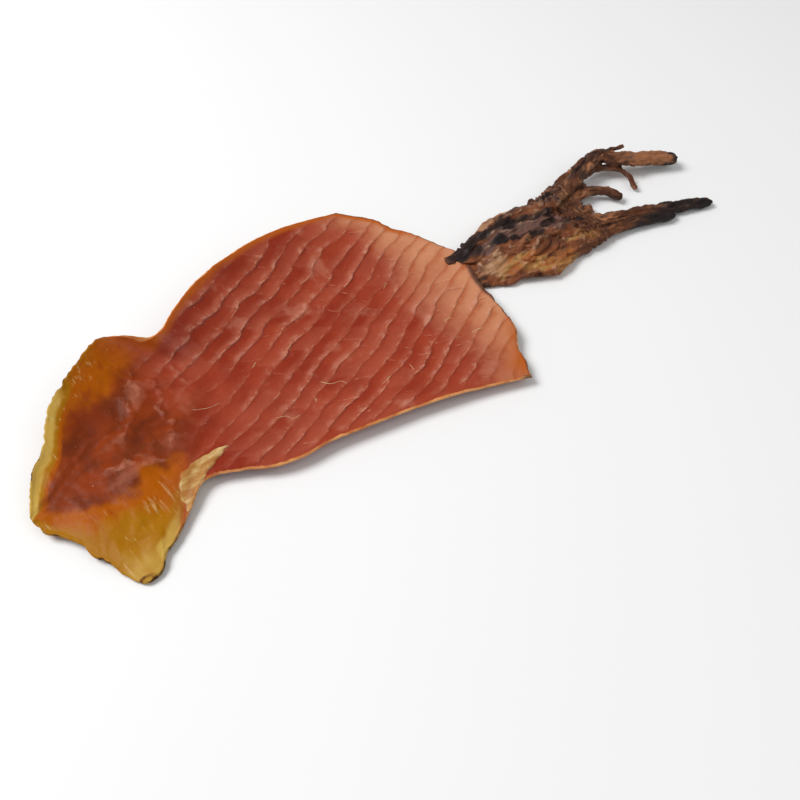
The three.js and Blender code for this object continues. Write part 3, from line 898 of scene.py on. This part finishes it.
def build_head():
    routes = arm_routes()
    grids = [head_lump(), *neck_skin(), *head_straps(), *arm_webs(), *arm_tubes(routes)]
    mesh, points, normal = voxel_merged("head_and_arms", grids)
    flow, on_arm, tip, number = flow_places(points, routes)
    warped = flow + 2.2 * np.stack([noise(points, 12, seed) for seed in (75, 76, 77)], -1)
    folds = -np.abs(noise(warped / np.array([20, 6.5, 6.5]), 1, 71)) * 4.2 + 1.1
    creases = -np.abs(noise(warped / np.array([8, 2.8, 2.8]), 1, 78, 2)) * 1.5 + 0.35
    folds = folds * (1 - 0.6 * on_arm)
    lumps = 1.3 * noise(points, 9, 72) * (1 - 0.5 * on_arm)
    strands = 0.3 * noise(flow / np.array([7, 1.7, 1.7]), 1, 73, 2)
    grain = 0.1 * noise(points, 1.6, 74)
    depth = folds + creases + lumps + strands + grain
    lifted = smoothstep(points[:, 2], 0.1, 2.0)
    tucked = 1 - smoothstep(points[:, 0], MANTLE_LENGTH - 8, MANTLE_LENGTH + 2)
    moved = points + normal * (depth * (0.15 + 0.85 * lifted) * (1 - 0.75 * tucked))[:, None]
    moved[:, 2] = np.maximum(0, moved[:, 2])
    mesh.vertices.foreach_set("co", placed(moved).ravel())
    mesh.update()
    on_left_long, on_right_long, on_right_second = (
        number == list(ARMS).index(name) for name in ("left_long", "right_long", "right_second")
    )
    charred = on_right_long * smoothstep(tip, 0.68, 0.78) + on_right_second * smoothstep(tip, 0.7, 0.8)
    bend = smoothstep(tip, 0.52, 0.58) * (1 - smoothstep(tip, 0.64, 0.7))
    bend = bend * smoothstep(noise(points, 6, 90, 2), -0.3, 0.3)
    charred = charred + on_left_long * (smoothstep(tip, 0.965, 0.985) + 0.8 * bend)
    values = {
        "flow": flow * MM,
        "fold": folds + creases,
        "on_arm": on_arm,
        "charred": charred,
        "tanned": on_left_long * smoothstep(tip, 0.68, 0.85),
        **patch_weights(points, 80),
    }
    add_values(mesh, values)
    mesh.shade_smooth()
    add_planar_uvs(mesh)
    return linked("head_and_arms", mesh)


# ---- Materials ----


class Nodes:
    """Short calls that build a material's node tree."""

    def __init__(self, name):
        self.material = bpy.data.materials.new(name)
        self.material.use_nodes = True
        self.tree = self.material.node_tree
        self.tree.nodes.clear()
        output = self.tree.nodes.new("ShaderNodeOutputMaterial")
        self.shader = self.tree.nodes.new("ShaderNodeBsdfPrincipled")
        self.tree.links.new(self.shader.outputs[0], output.inputs["Surface"])
        self.place = self.tree.nodes.new("ShaderNodeTexCoord").outputs["Object"]
        self.base = None

    def put(self, socket, value):
        if isinstance(value, bpy.types.NodeSocket):
            self.tree.links.new(value, socket)
        elif value is not None:
            socket.default_value = value

    def set(self, name, value):
        """One of the shader's own inputs."""
        self.put(self.shader.inputs[name], value)

    def value(self, name, output="Fac"):
        """A named value of the mesh's points."""
        node = self.tree.nodes.new("ShaderNodeAttribute")
        node.attribute_name = name
        return node.outputs[output]

    def math(self, operation, a, b=None, c=None):
        node = self.tree.nodes.new("ShaderNodeMath")
        node.operation = operation
        for socket, value in zip(node.inputs, (a, b, c)):
            self.put(socket, value)
        return node.outputs[0]

    def line(self, value, slope, start):
        return self.math("MULTIPLY_ADD", value, slope, start)

    def rest(self, value):
        return self.math("SUBTRACT", 1.0, value)

    def most(self, a, b):
        return self.math("MAXIMUM", a, b)

    def times(self, *factors):
        return functools.reduce(lambda a, b: self.math("MULTIPLY", a, b), factors)

    def span(self, value, low, high, to_low=0.0, to_high=1.0):
        """value from low to high, as a smooth step between the last two numbers."""
        node = self.tree.nodes.new("ShaderNodeMapRange")
        node.interpolation_type = "SMOOTHSTEP"
        for socket, number in zip(node.inputs, (value, low, high, to_low, to_high)):
            self.put(socket, number)
        return node.outputs[0]

    def noise(self, size_mm, detail=3.0, rough=0.5, where=None, stretch=None, distortion=0.0):
        node = self.tree.nodes.new("ShaderNodeTexNoise")
        source = where or self.place
        if stretch:
            mapping = self.tree.nodes.new("ShaderNodeMapping")
            mapping.inputs["Scale"].default_value = stretch
            self.tree.links.new(source, mapping.inputs["Vector"])
            source = mapping.outputs[0]
        self.tree.links.new(source, node.inputs["Vector"])
        node.inputs["Scale"].default_value = 1000 / size_mm
        node.inputs["Detail"].default_value = detail
        node.inputs["Roughness"].default_value = rough
        node.inputs["Distortion"].default_value = distortion
        return node.outputs["Fac"]

    def over(self, paint, *factors):
        """One more layer of colour over the base, as strong as the product of the factors."""
        self.base = self.mix(factors, self.base, paint)

    def mix(self, amount, a, b):
        """From colour a to colour b; the amount may be several factors, which are multiplied."""
        node = self.tree.nodes.new("ShaderNodeMix")
        node.data_type = "RGBA"
        self.put(node.inputs[0], self.times(*amount) if isinstance(amount, tuple) else amount)
        self.put(node.inputs[6], a)
        self.put(node.inputs[7], b)
        return node.outputs[2]

    def bump(self, height, distance_mm):
        node = self.tree.nodes.new("ShaderNodeBump")
        node.inputs["Strength"].default_value = 1.0
        node.inputs["Distance"].default_value = distance_mm * MM
        self.put(node.inputs["Height"], height)
        return node.outputs[0]


def colour(red, green, blue):
    """A colour as it looks on a screen, 0 to 255, for a shader."""
    parts = [c / 255 for c in (red, green, blue)]
    return tuple(c / 12.92 if c <= 0.04045 else ((c + 0.055) / 1.055) ** 2.4 for c in parts) + (1.0,)


BRICK = colour(150, 52, 24)
BRICK_DEEP = colour(134, 36, 10)
BRICK_PINK = colour(170, 86, 62)
CREASE_SHADE = colour(84, 18, 8)
CREST_HIGHLIGHT = colour(224, 156, 124)
FRONT_TAN = colour(200, 136, 98)
FRONT_ORANGE = colour(172, 84, 36)
ORANGE = colour(176, 84, 10)
AMBER = colour(164, 82, 0)
GOLD = colour(160, 104, 6)
STRAW = colour(194, 158, 74)
PALE_FIBRE = colour(212, 182, 124)
FLAP_TAN = colour(168, 122, 58)
FLAP_CREAM = colour(208, 178, 122)
TAIL_BROWN = colour(134, 52, 14)
TAIL_MAUVE = colour(108, 44, 18)
HAZE_SHEEN = colour(186, 120, 96)
GLEAM = colour(204, 148, 126)
DARK_EDGE = colour(40, 20, 18)
TAIL_DARK = colour(86, 32, 18)
RIM_GOLD = colour(230, 162, 98)


def mantle_colour(n):
    """Brick red with its net of wrinkles, tanned and streaked orange towards the front; the wrinkles carry
    painted highlights on their crests and painted shade at their drops, and the mantle carries painted sheen.
    """
    part = n.math("FRACT", n.value("long_phase"))
    upside = n.rest(n.value("under"))
    net = n.times(n.value("long_net"), upside)
    tan = n.value("tan")
    n.base = n.mix(n.span(n.noise(24, 3), 0.36, 0.64), BRICK, BRICK_DEEP)
    n.over(BRICK_PINK, n.span(n.value("cell"), 0.25, 0.75, 0, 0.3))
    # Painted light and shade across each wrinkle: deeper red just past its drop, pinker up the slope to its
    # crest.
    n.over(BRICK_DEEP, n.span(part, 0.3, 0.02, 0, 0.7), net)
    n.over(BRICK_PINK, n.span(part, 0.3, 0.85, 0, 0.75), net)
    # The front's tan and orange stripes are its own colour, and they are lighter towards each wrinkle's crest
    # as painted light.
    striped = n.math("ADD", part, n.line(n.noise(7, 3), 0.9, -0.45))
    front = n.mix(n.span(striped, -0.15, 0.45, 0.2, 1), FRONT_ORANGE, FRONT_TAN)
    n.over(front, tan, 0.88)
    # Painted sheen: soft pale dabs on each wrinkle's lit slope below its crest.
    dabs = n.span(n.noise(5, 4, 0.62), 0.47, 0.68)
    crest_sheen = n.times(n.span(part, 0.5, 0.86), n.span(part, 0.97, 0.9), net, dabs)
    n.over(GLEAM, crest_sheen, 0.55)
    broken = n.span(n.noise(3.2, 3, 0.6), 0.46, 0.66)
    # Painted highlight: a thin pale line along each long wrinkle's crest.
    crest = n.times(n.span(part, 0.84, 0.88), n.span(part, 0.925, 0.9), net, broken)
    n.over(CREST_HIGHLIGHT, crest, 0.8)
    # Painted shade: a thin dark line at each long wrinkle's steep drop, where its crest shades the next cell.
    trough_shade = n.most(n.span(part, 0.92, 0.955), n.span(part, 0.025, 0.0))
    trough_shade = n.times(trough_shade, net, n.span(n.noise(5, 3, 0.6), 0.34, 0.56, 0.3, 1))
    n.over(CREASE_SHADE, trough_shade, n.line(tan, -0.35, 0.85))
    cross = n.math("FRACT", n.value("cross_phase"))
    net = n.times(n.value("cross_net"), upside)
    # Painted shade: a thin dark line at each cross wrinkle's drop.
    line = n.most(n.span(cross, 0.94, 0.97), n.span(cross, 0.02, 0.0))
    n.over(CREASE_SHADE, line, net, broken, 0.5)
    # Painted highlight just before each cross wrinkle's drop.
    lit = n.times(n.span(cross, 0.87, 0.91), n.span(cross, 0.95, 0.92), net, broken)
    n.over(CREST_HIGHLIGHT, lit, 0.5)
    # Painted sheen: pale hazy patches over the mantle behind its tanned front.
    painted_sheen = n.span(n.noise(17, 4, 0.6), 0.56, 0.72, 0, 0.4)
    painted_sheen = n.times(painted_sheen, n.rest(tan), n.span(n.value("along"), 0.4, 0.55))
    n.over(HAZE_SHEEN, painted_sheen)
    n.over(ORANGE, n.value("orange"))


def fin_colour(n):
    """Through mauve brown and amber to gold and straw where the fins are thinnest, with painted shade in the
    tail's crumple hollows and painted highlight on its folds.
    """
    thin = n.line(n.noise(6, 4, 0.6, stretch=(1, 0.4, 1)), 0.2, n.value("thin"))
    thin = n.math("SUBTRACT", thin, 0.1)
    centre = n.mix(n.span(n.noise(13, 3, 0.55), 0.42, 0.66), TAIL_BROWN, TAIL_MAUVE)
    # Painted shade in the tail's crumple hollows, and painted highlight on its raised folds.
    centre = n.mix(n.span(n.value("crumple"), 0.05, -0.45, 0, 0.4), centre, TAIL_DARK)
    pale = n.span(n.line(n.noise(5, 4, 0.6), 0.8, n.value("crumple")), 0.55, 0.95, 0, 0.3)
    centre = n.mix(pale, centre, HAZE_SHEEN)
    shade = n.mix(n.span(thin, 0.08, 0.33), centre, AMBER)
    shade = n.mix(n.span(thin, 0.42, 0.64), shade, GOLD)
    shade = n.mix(n.span(thin, 0.7, 0.95), shade, STRAW)
    fibres = n.span(n.noise(1.6, 3, 0.6, stretch=(1, 0.09, 1), distortion=0.4), 0.56, 0.7)
    fibres = n.times(fibres, n.span(thin, 0.25, 0.55), n.span(n.noise(11, 2), 0.42, 0.6), 0.5)
    shade = n.mix(fibres, shade, PALE_FIBRE)
    streaks = n.span(n.noise(5, 3, 0.6, stretch=(1, 0.22, 1)), 0.54, 0.68)
    shade = n.mix((streaks, n.span(thin, 0.75, 0.35), 0.5), shade, TAIL_BROWN)
    n.over(shade, n.value("fin"))


def mantle_material():
    n = Nodes("dried_mantle")
    mantle_colour(n)
    fin_colour(n)
    in_fin = n.value("fin")
    rib = n.times(n.value("pen"), in_fin, n.span(n.noise(6, 3), 0.35, 0.6, 0.1, 0.55))
    n.over(TAIL_MAUVE, rib)
    # Painted highlight along the ridges of the crumple folds.
    ridge = n.times(n.span(n.value("folds"), 0.5, 0.95), n.span(n.noise(4, 3, 0.6), 0.42, 0.6), 0.35)
    n.over(HAZE_SHEEN, ridge)
    torn = n.noise(4.5, 4, 0.6, stretch=(0.45, 1, 1))
    flap = n.times(n.span(n.value("flap_mm"), -0.1, 0.6), n.span(torn, 0.3, 0.5, 0.6, 0.95))
    n.over(n.mix(n.span(torn, 0.4, 0.66), FLAP_TAN, FLAP_CREAM), flap)
    curl = n.times(n.span(n.value("tip_curl"), 0.2, 0.8), n.span(n.noise(3, 2), 0.35, 0.55, 0.3, 0.85))
    n.over(TAIL_DARK, curl)
    ragged = n.math("ADD", n.value("edge_mm"), n.line(n.noise(4, 3), 1.4, -0.7))
    body = n.rest(in_fin)
    rim = n.times(n.span(ragged, 0.8, 0.25), body, n.span(n.noise(9, 3), 0.35, 0.6, 0.3, 0.95))
    n.over(RIM_GOLD, rim)
    beside_neck = n.span(n.math("ABSOLUTE", n.math("ADD", n.value("across"), 0.2)), 0.3, 0.05, 1, 2.6)
    ragged_front = n.math("DIVIDE", ragged, beside_neck)
    at_front = n.times(n.span(n.value("along"), 0.975, 0.992), n.span(ragged_front, 1.5, 0.5))
    at_front = n.times(at_front, n.span(n.noise(16, 3, 0.6), 0.4, 0.56, 0.25, 1))
    fin_line = n.times(n.span(ragged, 0.7, 0.2), in_fin, n.span(n.noise(8, 2), 0.5, 0.58))
    dark = n.most(at_front, fin_line)
    n.over(DARK_EDGE, dark, 0.85)
    # Painted glints: tiny pale specks in the crest highlight colour.
    glint_specks = n.span(n.noise(1.3, 2, 0.6), 0.73, 0.78, 0, 0.6)
    n.over(CREST_HIGHLIGHT, glint_specks)
    n.set("Base Color", n.base)
    gloss = n.span(n.noise(7, 3), 0.3, 0.7, 0.3, 0.5)
    n.set("Roughness", n.line(in_fin, 0.08, gloss))
    crest_line = n.math("PINGPONG", n.math("SUBTRACT", n.value("long_phase"), 0.87), 0.5)
    fine = n.times(n.span(crest_line, 0.05, 0.0), n.value("long_net"), 0.35)
    fine = n.line(n.noise(1.1, 4, 0.6), 0.35, fine)
    fine = n.line(n.noise(4, 3, 0.5), 0.6, fine)
    n.set("Normal", n.bump(fine, 0.25))
    coat = n.line(in_fin, -0.13, 0.17)
    set_flesh(n, coat, 0.1, n.line(in_fin, -0.12, SPECULAR))
    return n.material


SPECULAR = 0.18  # dull, so that the dark reds keep their colour
COAT_ROUGHNESS = 0.2
SCATTER_RADIUS = (1.0, 0.35, 0.12)  # red light goes furthest into the flesh
SCATTER_DEPTH = 1.6


def set_flesh(n, coat, scatter, specular=SPECULAR):
    n.set("Specular IOR Level", specular)
    n.set("Coat Weight", coat)
    n.set("Coat Roughness", COAT_ROUGHNESS)
    n.set("Subsurface Weight", scatter)
    n.set("Subsurface Radius", SCATTER_RADIUS)
    n.set("Subsurface Scale", SCATTER_DEPTH * MM)


def fibre_material():
    n = Nodes("dried_fibres")
    n.set("Base Color", n.mix(n.span(n.noise(3, 2), 0.4, 0.6), GLEAM, PALE_FIBRE))
    n.set("Roughness", n.span(n.noise(1.5, 2), 0.3, 0.7, 0.35, 0.6))
    set_flesh(n, coat=0.1, scatter=0.1)
    return n.material


HEAD_BROWN = colour(92, 54, 34)
HEAD_RUST = colour(128, 70, 38)
HEAD_TAN = colour(176, 132, 94)
HEAD_AMBER = colour(158, 90, 42)
HEAD_YELLOW = colour(172, 126, 70)
HEAD_GLEAM = colour(202, 164, 134)
HEAD_BLACK = colour(24, 17, 18)
HEAD_PLUM = colour(104, 80, 74)
ARM_BROWN = colour(94, 52, 28)
ARM_TAN = colour(170, 112, 74)
ARM_DARK = colour(42, 26, 20)


def head_material():
    n = Nodes("dried_head")
    flow = n.value("flow", "Vector")
    streak = n.noise(5.5, 4, 0.6, where=flow, stretch=(0.25, 1, 1), distortion=0.5)
    broad = n.noise(12, 3, 0.6, where=flow, stretch=(0.45, 1, 1), distortion=0.6)
    n.base = n.mix(n.span(broad, 0.38, 0.62), HEAD_BROWN, HEAD_RUST)
    n.over(HEAD_TAN, n.span(streak, 0.54, 0.7, 0, 0.75))
    warm = n.mix(n.span(streak, 0.4, 0.6), HEAD_AMBER, HEAD_YELLOW)
    n.over(warm, n.value("amber"), n.span(broad, 0.3, 0.5, 0.5, 0.95))
    n.over(HEAD_PLUM, n.value("plum"), n.span(streak, 0.3, 0.6, 0.9, 0.5))
    n.over(HEAD_TAN, n.value("tan"), 0.8)
    arms = n.mix(n.span(streak, 0.47, 0.64, 0, 0.85), ARM_BROWN, ARM_TAN)
    arms = n.mix((n.value("tanned"), 0.75), arms, ARM_TAN)
    arms = n.mix(n.span(n.noise(9, 3, 0.6, where=flow), 0.55, 0.66, 0, 0.7), arms, HEAD_PLUM)
    arms = n.mix(n.span(broad, 0.49, 0.6, 0, 0.88), arms, ARM_DARK)
    n.over(arms, n.value("on_arm"), 0.92)
    n.over(HEAD_BROWN, n.value("spot"), 0.85)
    # Painted highlight on the raised folds of the head and arms.
    raised = n.span(n.value("fold"), 0.55, 1.2)
    n.over(HEAD_GLEAM, raised, n.span(n.noise(4, 4, 0.6), 0.46, 0.64), 0.55)
    # Painted shade: black in the hollows between the folds and creases.
    low = n.span(n.value("fold"), -0.3, -1.7)
    n.over(HEAD_BLACK, low, 0.8)
    black = n.most(n.value("black"), n.span(broad, 0.62, 0.69, 0, 0.85))
    black = n.most(black, n.value("charred"))
    n.over(HEAD_BLACK, black, n.span(streak, 0.66, 0.5, 0.55, 0.93))
    n.set("Base Color", n.base)
    n.set("Roughness", n.span(n.noise(4, 3), 0.3, 0.7, 0.38, 0.62))
    fine = n.noise(1.6, 5, 0.65, where=flow, stretch=(0.35, 1, 1))
    fine = n.line(n.noise(0.8, 3, 0.6), 0.4, fine)
    n.set("Normal", n.bump(fine, 0.85))
    set_flesh(n, coat=0.1, scatter=0.05)
    return n.material


# ---- Surroundings ----

# The view: where the camera looks on the surface, and from which side, height and distance.
LOOK_AT = (152.3, -43.6, 0)
VIEW_DISTANCE = 398.7
VIEW_AZIMUTH = math.radians(-40.7)
VIEW_ELEVATION = math.radians(50.7)
LENS = 40.5
SENSOR_WIDTH = 36
FLOOR_HALF = 3.0  # the floor's and the lights' sizes and places are in metres
FLOOR_GAP = 0.0002
FLOOR_COLOUR = (0.86, 0.86, 0.86, 1)
# Each light: its direction, distance, diameter and watts.
LIGHTS = {
    "key": ((-0.6, 0.55, 1.1), 1.6, 0.9, 22),
    "fill": ((0.4, -0.9, 1.1), 1.8, 1.4, 5),
}
SKY_STRENGTH = 0.36


def add_camera():
    camera = linked("camera", bpy.data.cameras.new("camera"))
    back = Vector((
        math.sin(VIEW_AZIMUTH) * math.cos(VIEW_ELEVATION),
        -math.cos(VIEW_AZIMUTH) * math.cos(VIEW_ELEVATION),
        math.sin(VIEW_ELEVATION),
    ))
    camera.location = Vector(placed(LOOK_AT)) + back * VIEW_DISTANCE * MM
    camera.rotation_euler = back.to_track_quat("Z", "Y").to_euler()
    camera.data.lens = LENS
    camera.data.sensor_width = SENSOR_WIDTH
    camera.data.clip_start = 0.01
    bpy.context.scene.camera = camera


def add_floor():
    mesh = bpy.data.meshes.new("floor")
    half, z = FLOOR_HALF, node_low.z - FLOOR_GAP
    corners = [(-half, -half, z), (half, -half, z), (half, half, z), (-half, half, z)]
    mesh.from_pydata(corners, [], [(0, 1, 2, 3)])
    floor = linked("floor", mesh)
    n = Nodes("pale_floor")
    n.set("Base Color", FLOOR_COLOUR)
    n.set("Roughness", 0.9)
    mesh.materials.append(n.material)
    floor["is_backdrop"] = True


def add_light(name, direction, distance, diameter, watts):
    light = bpy.data.lights.new(name, "AREA")
    light.shape = "DISK"
    light.size = diameter
    light.energy = watts
    lamp = linked(name, light)
    towards = Vector(direction).normalized()
    lamp.location = towards * distance
    lamp.rotation_euler = towards.to_track_quat("Z", "Y").to_euler()


def add_studio():
    world = bpy.data.worlds.new("studio")
    world.use_nodes = True
    background = world.node_tree.nodes["Background"]
    background.inputs["Color"].default_value = (1, 1, 1, 1)
    background.inputs["Strength"].default_value = SKY_STRENGTH
    bpy.context.scene.world = world
    bpy.context.scene.view_settings.view_transform = "Standard"
    for name, light in LIGHTS.items():
        add_light(name, *light)


# ---- The scene ----

add_camera()
add_floor()
add_studio()

mantle, skin = build_mantle()
mantle.data.materials.append(mantle_material())
fibres = build_fibres(skin)
fibres.data.materials.append(fibre_material())
head = build_head()
head.data.materials.append(head_material())
for piece in (mantle, fibres, head):
    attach(piece, "root")
    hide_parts("dried_squid")

boxes = {"cad": cad_box, "visual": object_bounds()}
{name: [list(corner) for corner in box] for name, box in boxes.items()}
